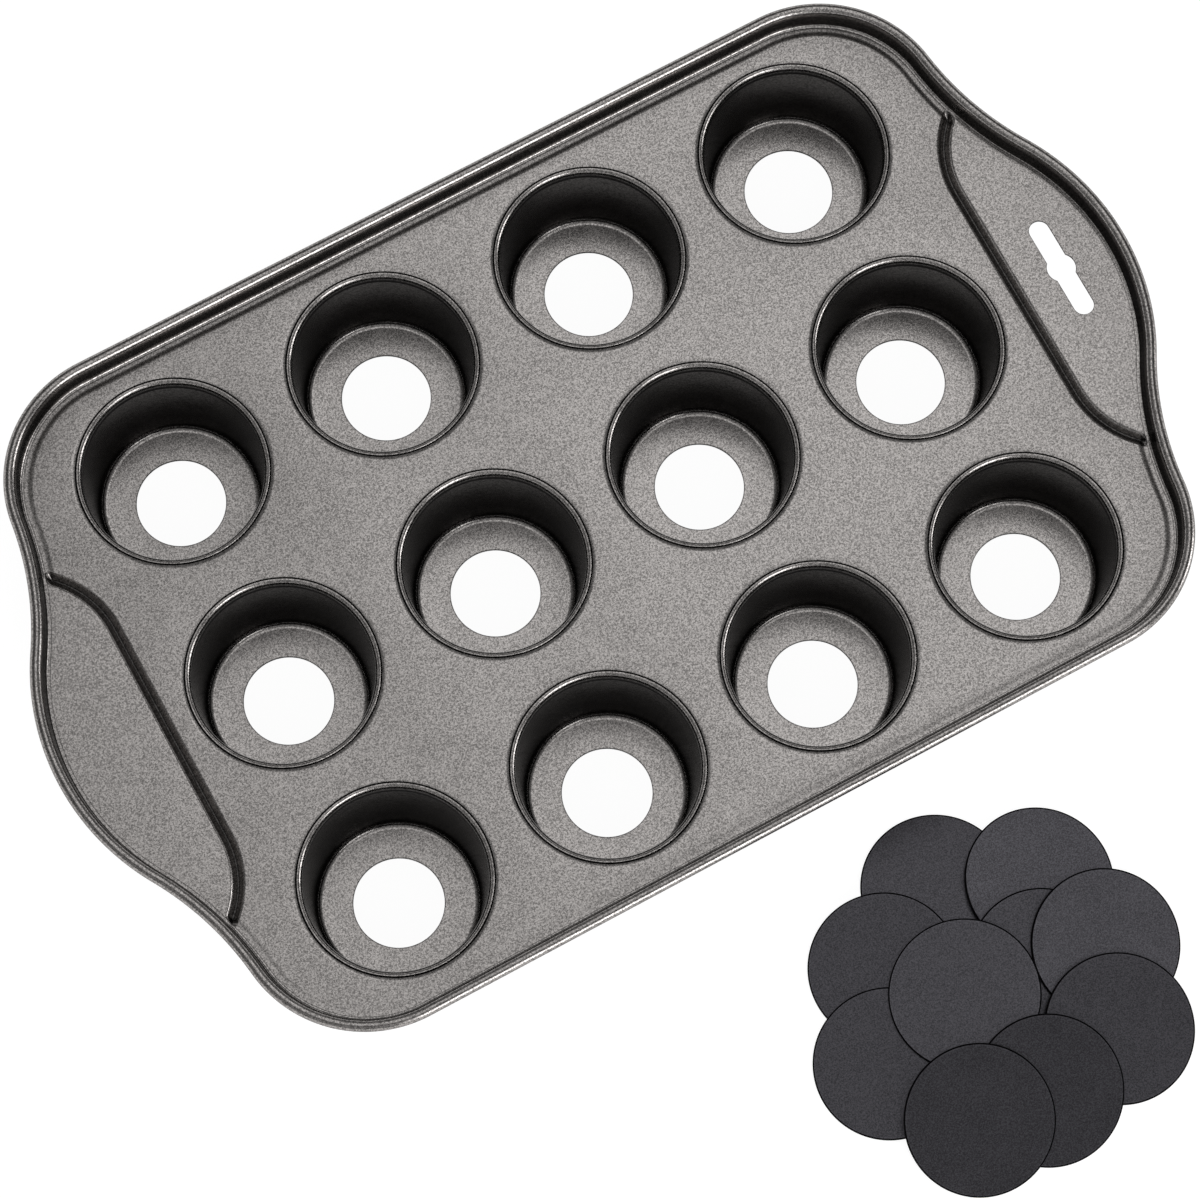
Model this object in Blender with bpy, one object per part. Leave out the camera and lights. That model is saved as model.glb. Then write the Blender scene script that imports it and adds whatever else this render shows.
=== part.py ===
"""Mini cheesecake pan with its loose base discs piled beside it. Metres, +Z up.

Z = 0 is the surface that the set stands on, and the origin is the middle of the set's footprint.
Inside this file the pan's own frame has its origin below the middle of the cups, +X along the rows
towards the handle with the hanging slot, and the whole set is shifted once, at the end.
"""

import itertools
import math

import bmesh
import bpy
import numpy as np
from mathutils import Vector

MM = 0.001

# Steel sheet of the tray and the cups, and the gap kept between pieces that touch
SHEET = 0.5 * MM
GAP = 0.3 * MM

# Cups: radii are of the inner faces, and the depth runs from the deck's top to the base's inner face
CUP_COLUMNS = 4
CUP_ROWS = 3
CUP_TOP_RADIUS = 26.9 * MM
CUP_BASE_RADIUS = 23.8 * MM
CUP_DEPTH = 33.0 * MM
CUP_CORNER = 1.2 * MM
BASE_HOLE_RADIUS = 13.3 * MM
CUP_WEB = 11.8 * MM

# Lip that lies in a pressed seat of the deck, and the crimp below it that holds the deck's edge
LIP_ROUND = 1.3 * MM
LIP_LAND = 0.4 * MM
SEAT_WIDTH = 0.8 * MM
SEAT_SLOPE = 0.3 * MM
CRIMP_GRIP = 0.3 * MM

# Outline of the tray: margins past the outermost lips and cup centres, and three arcs a quarter
SIDE_MARGIN = 12.2 * MM
HANDLE_REACH = 72.1 * MM
SIDE_STRAIGHT = 10.0 * MM
CORNER_RADIUS = 39.4 * MM
WAIST_RADIUS = 93.6 * MM
HANDLE_RADIUS = 75.2 * MM

# Border: moat round the deck, leaning wall, and a bead rolled outwards over a wire
MOAT_WIDTH = 2.2 * MM
MOAT_DEPTH = 0.5 * MM
WALL_FOOT_RISE = 0.4 * MM
WALL_FOOT_RUN = 1.8 * MM
WALL_LEAN = 2.0 * MM
WALL_HEIGHT = 6.2 * MM
BEAD_RADIUS = 1.45 * MM
BEAD_TURN = math.radians(300)

# Groove pressed across each handle, and the hanging slot with its round peg hole
GROOVE_FROM_TIP = 35.5 * MM
GROOVE_HALF_WIDTH = 1.85 * MM
GROOVE_FLOOR_HALF = 0.25 * MM
GROOVE_DEPTH = 1.9 * MM
GROOVE_HALF_STRAIGHT = 35.0 * MM
GROOVE_TURN_RADIUS = 30.0 * MM
GROOVE_TURN = math.radians(45)
GROOVE_TURN_STEP = math.radians(1)
GROOVE_END_LAND = 0.5 * MM
SLOT_FROM_TIP = 20.2 * MM
SLOT_LENGTH = 32.2 * MM
SLOT_WIDTH = 6.2 * MM
SLOT_HOLE_RADIUS = 4.35 * MM

# Loose base discs, which drop into the cups in use
DISC_CLEARANCE = 0.5 * MM
DISC_THICKNESS = 0.8 * MM
PILE_ALONG = 26.7 * MM
PILE_FROM_PAN = 8.0 * MM
# The pile from the bottom up: (distance from its middle in disc radii, bearing in degrees)
PILE = (
    (0.08, 45), (0.08, 45), (1.51, 74), (1.87, 28), (1.13, 354), (2.00, 352),
    (1.11, 131), (1.32, 193), (0.00, 0), (2.07, 320), (1.64, 282), (1.65, 247),
)

# Settling of the pile: least area of a triangle of holding points, in squared radii, and slack in height
LEAST_SPREAD = 0.01
SETTLE_SLACK = 0.0003 * MM

# Facets
CUP_SIDES = 24
WIRE_SIDES = 6
BEAD_STEPS = 6
CORNER_STEPS = 7
WAIST_STEPS = 5
HANDLE_STEPS = 4
GROOVE_STEPS = 4
CAP_STEPS = 4
SLOT_STEPS = 6
SHARP_ANGLE = math.radians(35)

# Worked out from the sizes above
DECK_TOP = SHEET + CUP_DEPTH
LIP_RADIUS = CUP_TOP_RADIUS + LIP_ROUND + LIP_LAND
CUP_PITCH = 2 * LIP_RADIUS + CUP_WEB
SEAT_RADIUS = LIP_RADIUS + GAP
SEAT_DEPTH = SHEET + GAP
DECK_HOLE_RADIUS = SEAT_RADIUS - SEAT_WIDTH
HALF_ROW = (CUP_COLUMNS - 1) / 2 * CUP_PITCH
HALF_COLUMN = (CUP_ROWS - 1) / 2 * CUP_PITCH
PAN_HALF_WIDTH = HALF_COLUMN + LIP_RADIUS + SIDE_MARGIN
PAN_HALF_LENGTH = HALF_ROW + HANDLE_REACH
WALL_TOP_INSET = 2 * BEAD_RADIUS
WALL_FOOT_INSET = WALL_TOP_INSET + WALL_LEAN
MOAT_INSET = WALL_FOOT_INSET + WALL_FOOT_RUN
DECK_INSET = MOAT_INSET + MOAT_WIDTH
DISC_RADIUS = CUP_BASE_RADIUS - CUP_CORNER - DISC_CLEARANCE

STEEL_COAT = ((0.27, 0.255, 0.24), 0.38, 0.7)
DISC_COAT = ((0.055, 0.055, 0.06), 0.55, 0.4)
BARE_WIRE = ((0.55, 0.55, 0.56), 0.35, 1.0)


def clear_scene():
    for thing in list(bpy.data.objects):
        bpy.data.objects.remove(thing, do_unlink=True)


def material(name, look):
    colour, roughness, metallic = look
    made = bpy.data.materials.new(name)
    made.use_nodes = True
    shader = made.node_tree.nodes["Principled BSDF"]
    shader.inputs["Base Color"].default_value = (*colour, 1)
    shader.inputs["Roughness"].default_value = roughness
    shader.inputs["Metallic"].default_value = metallic
    return made


def finish(name, bm, look):
    """Turns a bmesh into a smooth-shaded object with its own material."""
    bmesh.ops.recalc_face_normals(bm, faces=bm.faces)
    mesh = bpy.data.meshes.new(name)
    bm.to_mesh(mesh)
    bm.free()
    mesh.shade_smooth()
    mesh.set_sharp_from_angle(angle=SHARP_ANGLE)
    mesh.materials.append(material(name + "_finish", look))
    made = bpy.data.objects.new(name, mesh)
    bpy.context.scene.collection.objects.link(made)
    return made


def thicken(section, thickness):
    """The section, as (across, height) points, offset to its left by thickness with mitred corners."""
    points = [Vector(p) for p in section]
    ways = [(b - a).normalized() for a, b in zip(points, points[1:])]
    lefts = [Vector((-w.y, w.x)) for w in ways]
    before, after = [lefts[0]] + lefts, lefts + [lefts[-1]]
    return [tuple(p + (m + n) / (1 + m.dot(n)) * thickness) for p, m, n in zip(points, before, after)]


def sheet_sides(section, thickness):
    """Both faces of a sheet that leaves the flat deck. The point ahead of the section only sets the mitre."""
    ahead = 2 * Vector(section[0]) - Vector((section[1][0], section[0][1]))
    return section, thicken([tuple(ahead)] + section, thickness)[1:]


def add_loop(bm, points, height):
    return [bm.verts.new((x, y, height)) for x, y in points]


def bridge(bm, loops):
    for a, b in zip(loops, loops[1:]):
        for i in range(len(a)):
            j = (i + 1) % len(a)
            bm.faces.new((a[i], a[j], b[j], b[i]))


def fill(bm, loops):
    """Fills the flat area between an outer loop and the loops inside it."""
    edges = []
    for loop in loops:
        for a, b in zip(loop, loop[1:] + loop[:1]):
            edges.append(bm.edges.get((a, b)) or bm.edges.new((a, b)))
    bmesh.ops.triangle_fill(bm, use_beauty=True, edges=edges)


def circle(centre, radius, sides=CUP_SIDES):
    turn = 2 * math.pi / sides
    return [
        (centre[0] + radius * math.cos(i * turn), centre[1] + radius * math.sin(i * turn))
        for i in range(sides)
    ]


def arc(centre, radius, start, end, steps):
    """Points from one angle to another, both included."""
    angles = [start + (end - start) * i / steps for i in range(steps + 1)]
    return [(centre[0] + radius * math.cos(a), centre[1] + radius * math.sin(a)) for a in angles]


def cup_centres():
    return [
        ((column - (CUP_COLUMNS - 1) / 2) * CUP_PITCH, ((CUP_ROWS - 1) / 2 - row) * CUP_PITCH)
        for row in range(CUP_ROWS)
        for column in range(CUP_COLUMNS)
    ]


def outline_arcs():
    """Centres of the corner, waist and handle arcs of one quarter. The waist arc's is outside the tray."""
    corner = Vector((HALF_ROW + SIDE_STRAIGHT, PAN_HALF_WIDTH - CORNER_RADIUS))
    handle = Vector((PAN_HALF_LENGTH - HANDLE_RADIUS, 0))
    to_corner, to_handle = WAIST_RADIUS + CORNER_RADIUS, WAIST_RADIUS + HANDLE_RADIUS
    span = corner - handle
    along = (to_handle**2 - to_corner**2 + span.length_squared) / (2 * span.length)
    across = math.sqrt(to_handle**2 - along**2)
    way = span.normalized()
    waist = handle + way * along + Vector((way.y, -way.x)) * across
    return corner, waist, handle


def outline(inset):
    """The tray's outline, moved inwards by inset. Every inset gives the same number of points."""
    corner, waist, handle = outline_arcs()
    joint_a, joint_b = waist - corner, waist - handle
    angle_a, angle_b = math.atan2(joint_a.y, joint_a.x), math.atan2(joint_b.y, joint_b.x)
    quarter = (
        arc(corner, CORNER_RADIUS - inset, math.pi / 2, angle_a, CORNER_STEPS)
        + arc(waist, WAIST_RADIUS + inset, angle_a + math.pi, angle_b + math.pi, WAIST_STEPS)[1:]
        + arc(handle, HANDLE_RADIUS - inset, angle_b, 0, HANDLE_STEPS)[1:]
    )
    right = quarter + [(x, -y) for x, y in reversed(quarter[:-1])]
    return right + [(-x, -y) for x, y in right]


def border_section():
    """(outward distance, height) from the deck's edge over the moat and the wall and round the bead."""
    section = [
        (-DECK_INSET, 0),
        (-MOAT_INSET, -MOAT_DEPTH),
        (-WALL_FOOT_INSET, WALL_FOOT_RISE),
    ]
    for i in range(BEAD_STEPS + 1):
        angle = math.pi - BEAD_TURN * i / BEAD_STEPS
        section.append((BEAD_RADIUS * (math.cos(angle) - 1), WALL_HEIGHT + BEAD_RADIUS * math.sin(angle)))
    return section


def seat_section():
    """(radius, height) of the deck round a cup, from the flat deck down to the edge of the hole."""
    return [
        (SEAT_RADIUS + SEAT_SLOPE, 0),
        (SEAT_RADIUS, -SEAT_DEPTH),
        (DECK_HOLE_RADIUS, -SEAT_DEPTH),
    ]


def groove_section():
    return [(GROOVE_HALF_WIDTH, 0), (GROOVE_FLOOR_HALF, -GROOVE_DEPTH), (0, -GROOVE_DEPTH)]


def groove_path():
    """Middle line of the right handle's groove: straight, turning outwards at both ends, clear of the moat."""
    x = PAN_HALF_LENGTH - GROOVE_FROM_TIP
    centre = (x + GROOVE_TURN_RADIUS, GROOVE_HALF_STRAIGHT)
    border = [Vector(p) for p in outline(DECK_INSET)]
    room = GROOVE_HALF_WIDTH + SHEET + GROOVE_END_LAND

    def clear_of_border(point):
        near = min(
            (point - closest(point, a, b)).length for a, b in zip(border, border[1:] + border[:1])
        )
        return near > room

    turn = GROOVE_TURN
    while turn > GROOVE_TURN_STEP:
        end = arc(centre, GROOVE_TURN_RADIUS, 0, math.pi - turn, 1)[1]
        if clear_of_border(Vector(end)):
            break
        turn -= GROOVE_TURN_STEP
    upper = arc(centre, GROOVE_TURN_RADIUS, math.pi - turn, math.pi, GROOVE_STEPS)
    return upper + [(px, -py) for px, py in reversed(upper)]


def closest(point, a, b):
    """The point of the segment from a to b that is nearest."""
    along = (point - a).dot(b - a) / (b - a).length_squared
    return a + (b - a) * min(max(along, 0), 1)


def band(path, half_width):
    """A closed loop at half_width all round an open path, with round ends."""
    points = [Vector(p) for p in path]
    ways = [(b - a).normalized() for a, b in zip(points, points[1:])]
    mid = [(a + b).normalized() for a, b in zip([ways[0]] + ways, ways + [ways[-1]])]
    lefts = [Vector((-w.y, w.x)) for w in mid]
    left = [tuple(p + n * half_width) for p, n in zip(points, lefts)]
    right = [tuple(p - n * half_width) for p, n in zip(points, lefts)]

    def cap(end, way):
        start = math.atan2(way.y, way.x)
        return arc(end, half_width, start + math.pi / 2, start - math.pi / 2, CAP_STEPS)[1:-1]

    return left + cap(points[-1], ways[-1]) + right[::-1] + cap(points[0], -ways[0])


def slot_outline():
    """A straight slot with round ends, widened in the middle by the round peg hole."""
    x = PAN_HALF_LENGTH - SLOT_FROM_TIP
    half_width = SLOT_WIDTH / 2
    end = SLOT_LENGTH / 2 - half_width
    spread = math.acos(half_width / SLOT_HOLE_RADIUS)
    return (
        arc((x, end), half_width, math.pi, 0, SLOT_STEPS)
        + arc((x, 0), SLOT_HOLE_RADIUS, spread, -spread, SLOT_STEPS // 2)
        + arc((x, -end), half_width, 0, -math.pi, SLOT_STEPS)
        + arc((x, 0), SLOT_HOLE_RADIUS, math.pi + spread, math.pi - spread, SLOT_STEPS // 2)
    )


def build_tray():
    bm = bmesh.new()
    tops, unders = [], []

    def add_sheet(shape, section, thickness, closed_floor=False):
        """Adds both faces of one pressed feature; shape gives its loop for a distance across."""
        faces = []
        for side in sheet_sides(section, thickness):
            if closed_floor:
                side = side[:-1]
            faces.append([add_loop(bm, shape(across), DECK_TOP + height) for across, height in side])
        top, under = faces
        bridge(bm, top)
        bridge(bm, under)
        if closed_floor:
            bm.faces.new(top[-1])
            bm.faces.new(under[-1])
        else:
            bridge(bm, [top[-1], under[-1]])
        tops.append(top[0])
        unders.append(under[0])

    add_sheet(lambda outward: outline(-outward), border_section(), -SHEET)
    for centre in cup_centres():
        add_sheet(lambda radius, c=centre: circle(c, radius), seat_section(), SHEET)
    path = groove_path()
    for side in (1, -1):
        handle_path = [(side * x, y) for x, y in path]
        add_sheet(lambda half, p=handle_path: band(p, half), groove_section(), SHEET, closed_floor=True)
    slot = [add_loop(bm, slot_outline(), height) for height in (DECK_TOP, DECK_TOP - SHEET)]
    bridge(bm, slot)
    fill(bm, tops + slot[:1])
    fill(bm, unders + slot[1:])
    return finish("tray", bm, STEEL_COAT)


def build_rim_wire():
    """The wire that stiffens the rim, with the bead rolled round it."""
    inside = (BEAD_RADIUS * math.cos(BEAD_TURN / BEAD_STEPS / 2)) - SHEET
    radius = inside - GAP
    bm = bmesh.new()
    loops = []
    for across, height in circle((-BEAD_RADIUS, DECK_TOP + WALL_HEIGHT), radius, WIRE_SIDES):
        loops.append(add_loop(bm, outline(-across), height))
    bridge(bm, loops + loops[:1])
    return finish("rim_wire", bm, BARE_WIRE)


def cup_section():
    """(radius, height below the deck) of the cup's inner face, from the lip's edge to the base hole."""
    neck = CUP_TOP_RADIUS
    crimp = DECK_HOLE_RADIUS + CRIMP_GRIP - SHEET * math.sqrt(2)
    crimp_start = min(
        -LIP_ROUND, DECK_HOLE_RADIUS - neck - SEAT_DEPTH - SHEET - math.sqrt(2) * (SHEET + GAP)
    )
    round_mid = LIP_ROUND * (1 - math.sqrt(0.5))
    bulge = crimp - neck
    return [
        (LIP_RADIUS, 0),
        (neck + LIP_ROUND, 0),
        (neck + round_mid, -round_mid),
        (neck, crimp_start),
        (crimp, crimp_start - bulge),
        (neck, crimp_start - 2 * bulge),
        (CUP_BASE_RADIUS, CUP_CORNER - CUP_DEPTH),
        (CUP_BASE_RADIUS - CUP_CORNER, -CUP_DEPTH),
        (BASE_HOLE_RADIUS, -CUP_DEPTH),
    ]


def build_cups():
    section = cup_section()
    closed = section + thicken(section, SHEET)[::-1]
    bm = bmesh.new()
    loops = [add_loop(bm, circle((0, 0), radius), height) for radius, height in closed]
    bridge(bm, loops + loops[:1])
    first = finish("cup_01", bm, STEEL_COAT)
    cups = [first]
    for number in range(2, CUP_COLUMNS * CUP_ROWS + 1):
        cup = bpy.data.objects.new(f"cup_{number:02d}", first.data)
        bpy.context.scene.collection.objects.link(cup)
        cups.append(cup)
    for cup, centre in zip(cups, cup_centres()):
        cup.location = (*centre, DECK_TOP)
    return cups


def pile_centres():
    """Where each disc lies, from the bottom of the pile up, in the pan's frame."""
    polar = [(distance * DISC_RADIUS, math.radians(bearing)) for distance, bearing in PILE]
    offsets = [(distance * math.cos(angle), distance * math.sin(angle)) for distance, angle in polar]
    reach = max(y for _, y in offsets) + DISC_RADIUS
    middle = -(PAN_HALF_WIDTH + PILE_FROM_PAN + reach)
    return [(PILE_ALONG + x, middle + y) for x, y in offsets]


def overlap_points(a, b):
    """Corners of the area that two discs share, seen from above."""
    pairs = [(point, b) for point in circle(a, DISC_RADIUS)]
    pairs += [(point, a) for point in circle(b, DISC_RADIUS)]
    inside = [point for point, other in pairs if math.dist(point, other) <= DISC_RADIUS]
    gap = math.dist(a, b)
    if 0 < gap < 2 * DISC_RADIUS:
        half = math.sqrt(DISC_RADIUS**2 - (gap / 2) ** 2)
        across = ((a[1] - b[1]) / gap * half, (b[0] - a[0]) / gap * half)
        middle = ((a[0] + b[0]) / 2, (a[1] + b[1]) / 2)
        inside += [(middle[0] + s * across[0], middle[1] + s * across[1]) for s in (1, -1)]
    return inside


def settle(centre, below):
    """(height, slope along X, slope along Y) of a disc's underside, lying on the floor and the discs below.

    The resting plane is the lowest one through three of the points that hold it up, with all others clear.
    """
    holds = [(point, 0.0) for point in circle(centre, DISC_RADIUS)]
    for other, plane in below:
        for point in overlap_points(centre, other):
            height = plane[0] + plane[1] * (point[0] - other[0]) + plane[2] * (point[1] - other[1])
            holds.append((point, height + DISC_THICKNESS + GAP))
    rows = np.array([(1.0, x - centre[0], y - centre[1]) for (x, y), _ in holds])
    heights = np.array([height for _, height in holds])
    triples = np.array(list(itertools.combinations(range(len(holds)), 3)))
    spread = np.linalg.det(rows[triples])
    triples = triples[np.abs(spread) > LEAST_SPREAD * DISC_RADIUS**2]
    planes = np.linalg.solve(rows[triples], heights[triples][..., None])[..., 0]
    clear = (planes @ rows.T >= heights - SETTLE_SLACK).all(axis=1)
    planes = planes[clear]
    return tuple(float(v) for v in planes[np.argmin(planes[:, 0])])


def build_discs():
    discs, settled = [], []
    for number, centre in enumerate(pile_centres(), 1):
        near = [(c, plane) for c, plane in settled if math.dist(c, centre) < 2 * DISC_RADIUS]
        plane = settle(centre, near)
        settled.append((centre, plane))
        bm = bmesh.new()
        loops = [add_loop(bm, circle((0, 0), DISC_RADIUS), height) for height in (0, DISC_THICKNESS)]
        bridge(bm, loops)
        for loop in loops:
            bm.faces.new(loop)
        disc = finish(f"base_disc_{number:02d}", bm, DISC_COAT)
        disc.location = (*centre, plane[0])
        up = Vector((-plane[1], -plane[2], 1))
        disc.rotation_euler = Vector((0, 0, 1)).rotation_difference(up).to_euler()
        discs.append(disc)
    return discs


def centre_set(pieces):
    """Parents every piece to one empty, which puts the middle of the footprint over the origin."""
    bpy.context.view_layer.update()
    corners = [piece.matrix_world @ vertex.co for piece in pieces for vertex in piece.data.vertices]
    middle = [(max(c[i] for c in corners) + min(c[i] for c in corners)) / 2 for i in (0, 1)]
    whole = bpy.data.objects.new("whole_set", None)
    whole.location = (-middle[0], -middle[1], 0)
    bpy.context.scene.collection.objects.link(whole)
    for piece in pieces:
        piece.parent = whole


def main():
    clear_scene()
    centre_set([build_tray(), build_rim_wire()] + build_cups() + build_discs())


main()
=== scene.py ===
"""Look of the mini cheesecake pan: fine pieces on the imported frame, their materials, studio and camera.

The pan's own frame has its origin on the deck's top face, in the middle of the cups, with +X towards the
hanging slot.
"""

import math

import bmesh
import bpy
import numpy as np
from mathutils import Matrix, Vector
from mathutils.geometry import delaunay_2d_cdt


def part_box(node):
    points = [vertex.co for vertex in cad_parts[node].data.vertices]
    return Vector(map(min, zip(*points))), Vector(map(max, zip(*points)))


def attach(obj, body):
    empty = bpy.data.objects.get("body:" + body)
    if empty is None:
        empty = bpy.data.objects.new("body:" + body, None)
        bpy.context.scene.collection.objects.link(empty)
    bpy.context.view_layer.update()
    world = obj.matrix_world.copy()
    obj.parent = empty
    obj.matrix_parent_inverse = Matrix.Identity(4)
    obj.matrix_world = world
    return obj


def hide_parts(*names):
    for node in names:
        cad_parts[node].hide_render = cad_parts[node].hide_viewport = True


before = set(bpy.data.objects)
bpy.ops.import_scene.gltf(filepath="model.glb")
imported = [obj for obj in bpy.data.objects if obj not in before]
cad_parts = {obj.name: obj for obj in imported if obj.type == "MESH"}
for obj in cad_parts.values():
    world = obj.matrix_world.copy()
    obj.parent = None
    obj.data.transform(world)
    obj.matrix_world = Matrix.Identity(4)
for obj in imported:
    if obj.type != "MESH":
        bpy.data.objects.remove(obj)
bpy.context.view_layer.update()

MM = 0.001
FULL_TURN = 2 * math.pi

# Sheet, gap and seat, as in the solids
SHEET = 0.5 * MM
GAP = 0.3 * MM
SEAT_DEPTH = SHEET + GAP
SEAT_WIDTH = 0.8 * MM

# Tray outline
CUP_COLUMNS = 4
CUP_ROWS = 3
CUP_PITCH = 69.0 * MM
HALF_LENGTH = 175.6 * MM
HALF_WIDTH = 109.8 * MM
SIDE_STRAIGHT = 10.0 * MM
CORNER_RADIUS = 39.4 * MM
WAIST_RADIUS = 93.6 * MM
HANDLE_RADIUS = 75.2 * MM
CORNER_STEPS = 38
WAIST_STEPS = 26
HANDLE_STEPS = 26

# Border section, as distances inwards from the outline and heights above the deck
MOAT_START = 8.5 * MM
MOAT_FLOOR = 6.5 * MM
MOAT_DEPTH = 0.25 * MM
MOAT_STEPS = 8
FOOT_START = 5.35 * MM
FOOT_RADIUS = 0.9 * MM
FOOT_STEPS = 8
WALL_STEPS = 4
BEAD_RADIUS = 1.75 * MM
BEAD_INSET = 0.3 * MM
BEAD_HEIGHT = 5.85 * MM
BEAD_END = math.radians(300)
BEAD_STEPS = 40

# Roll-down of the deck round each cup, which gets steeper by a power towards the seat
SEAT_RADIUS = 28.6 * MM
DIP_RADIUS = 29.7 * MM
DIP_DEPTH = 0.19 * MM
DIP_POWER = 1.8
DIP_STEPS = 7
RING_SIDES = 120

# Grooves: a V with a round bottom and round shoulders. Each is straight, then turned at both ends, and
# fades out towards the foot of the wall.
GROOVE_X = HALF_LENGTH - 35.5 * MM
GROOVE_HALF_WIDTH = 1.85 * MM
GROOVE_DEPTH = 1.95 * MM
GROOVE_BOTTOM_ROUND = 0.45 * MM
GROOVE_SHOULDER_ROUND = 0.12 * MM
GROOVE_HALF_STRAIGHT = 35.0 * MM
GROOVE_TURN_RADIUS = 30.0 * MM
GROOVE_TURN = math.radians(70)
GROOVE_TURN_STEPS = 70
GROOVE_FADE = (5.3 * MM, 7.0 * MM)
GROOVE_LEAST_DROP = 0.004 * MM

# Distances from the groove's middle line where the deck's mesh gets an edge, in millimetres
GROOVE_LINES = (0.2, 0.5, 0.9, 1.3, 1.7, 1.95, 2.3)

# Kind of the deck's triangulation: every triangle within the hull of its points
HULL_TRIANGLES = 0

# Hanging slot: a long slot with round ends and a round hole in its middle
SLOT_X = HALF_LENGTH - 20.2 * MM
SLOT_LENGTH = 32.2 * MM
SLOT_WIDTH = 6.2 * MM
SLOT_HOLE_RADIUS = 4.35 * MM
SLOT_END_STEPS = 20
SLOT_HOLE_STEPS = 10

# Cup section
LIP_RADIUS = 28.2 * MM
LIP_EDGE_DROP = 0.35 * MM
LIP_EDGE_ROUND = 0.2 * MM
LIP_EDGE_STEPS = 4
LIP_DROP = 2.5 * MM
LIP_STEP = 0.12 * MM
LIP_STEPS = 14
CUP_TOP_RADIUS = 26.45 * MM
CUP_BASE_RADIUS = 23.8 * MM
CUP_CORNER = 2.0 * MM
CUP_CORNER_STEPS = 12
BASE_HOLE_RADIUS = 13.3 * MM
CUP_SIDES = 128

# Loose discs, whose radius and thickness come from their solids
DISC_EDGE_ROUND = 0.18 * MM
DISC_EDGE_STEPS = 4
DISC_SIDES = 128
SAME_POINT_DECIMALS = 7

# Mesh clean-up: points this close are one, in the deck's triangulation in millimetres and after it, and
# edges this sharp stay sharp
TRIANGLES_WELD_MM = 1e-5
WELD = 0.001 * MM
SHARP_ANGLE = math.radians(35)
DISC_SHARP_ANGLE = math.radians(50)

# Painted shade, kept on the meshes' points as a darkening of the coat: 0 is the plain coat, 1 is black
SHADE = "shade"
FULL_SHADE = 1.0
# An even slight darkening of the whole deck, which leaves the cups a little paler
DECK_SHADE = 0.06
# Painted shade on the cups' outer faces, under the deck
CUP_OUTSIDE_SHADE = 0.3

# Painted shade down the inside of a cup, darkest on the wall and under the lip, as (height above the deck in
# millimetres, shade) from the base up to the lip
CUP_SHADES = (
    (-33.0, 0.0), (-32.92, 0.0), (-32.75, 0.3), (-32.3, 0.45), (-31.2, 0.6), (-29.5, 0.86), (-24.0, 0.91),
    (-15.0, 0.87), (-8.0, 0.84), (-3.9, 0.83), (-3.6, 0.97), (-2.4, 0.97), (-1.9, 0.93), (-1.4, 0.75),
    (-0.9, 0.3), (-0.5, 0.0), (-0.3, 0.0),
)

# Painted shade on the wall between foot and bead: it starts at a share of the foot's width and ends at the
# bead's middle
BORDER_SHADE = 0.78
BORDER_SHADE_START = 0.75
BEAD_CLEAR = 0.5 * MM

# Painted shade line, fine and dark, in the moat: its shade, place and half width, and the share of that
# where the mesh has its edges
CREASE_SHADE = 0.8
CREASE_INSET = 5.6 * MM
CREASE_HALF_WIDTH = 0.2 * MM
CREASE_EDGES = 0.95

# Painted dark reflection along the bead, by its angle round the bead's middle from the inner side over the
# crest
BEAD_LINE_SHADE = 0.65
BEAD_LINE_AT = math.radians(106)
BEAD_LINE_HALF_WIDTH = math.radians(9)

# Grooves: painted shade on their sides, which is full from a share of the depth down, and on their bottom,
# where it hides the light line that the bottom reflects, with the distances from the middle line up to which
# it is full and where it ends. Both fade out at the wall's foot.
GROOVE_SHADE = 0.45
GROOVE_SHADE_FULL = 0.5
GROOVE_BOTTOM_SHADE = 0.85
GROOVE_BOTTOM_BAND = (0.3 * MM, 0.6 * MM)
GROOVE_SHADE_FADE = (4.9 * MM, 5.6 * MM)

# Painted shade at edges: round the hanging slot, in the cups' seats and seams, and round the base holes
EDGE_SHADE = 0.9
EDGE_BAND = 0.25 * MM
SEAT_EDGE = 0.04 * MM
SEAM_WIDTH = 0.02 * MM
HOLE_EDGE_BAND = 0.4 * MM

# Discs: a painted shade line at the edge, a painted highlight ring inside it, and each disc's own tone from
# the bottom of the pile up
DISC_EDGE_SHADE = 0.97
DISC_EDGE_BAND = 0.42 * MM
DISC_EDGE_BLEND = 0.08 * MM
DISC_GLEAM = 0.12
DISC_GLEAM_BAND = 0.35 * MM
DISC_TONES = (0.4, 0.4, 0.31, 0.05, 0.3, 0.19, 0.42, 0.44, 0.36, 0.45, 0.6, 0.6)

# Coats, as the fleck's two colours, the roughness, and the scales of the coarse and the fine grain
PAN_COAT = ((0.16, 0.152, 0.147), (0.46, 0.437, 0.424), 0.23, (1700, 3400))
DISC_COAT = ((0.085, 0.083, 0.092), (0.182, 0.177, 0.198), 0.42, (2100, 4200))
COAT_METALLIC = 1.0
COAT_EDGE_TINT = 0.5

# Grain: each scale's share of the fleck, the fleck levels of the two colours, and the bump that it raises.
# It is turned, so that no flat face runs along its cells.
GRAIN_SHARES = (0.55, 0.45)
GRAIN_DETAIL = 1.0
FLECK_LEVELS = (0.38, 0.62)
GRAIN_TURN = (0.6, 0.5, 0.3)
BUMP_STRENGTH = 0.3
BUMP_DISTANCE = 0.04 * MM

# Mottling, how far it moves the fleck and the roughness, and the middle value of its noise
MOTTLE_SCALE = 110
MOTTLE_DETAIL = 3.0
MOTTLE_ROUGHNESS = 0.6
MOTTLE_TONE = 0.12
MOTTLE_GLOSS = 0.1
NOISE_MIDDLE = 0.5

# Bare wire
WIRE_COLOURS = ((0.3, (0.45, 0.45, 0.46)), (0.7, (0.6, 0.6, 0.61)))
WIRE_GRAIN = 900
WIRE_GRAIN_DETAIL = 3.0
WIRE_ROUGHNESS = 0.35

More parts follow.
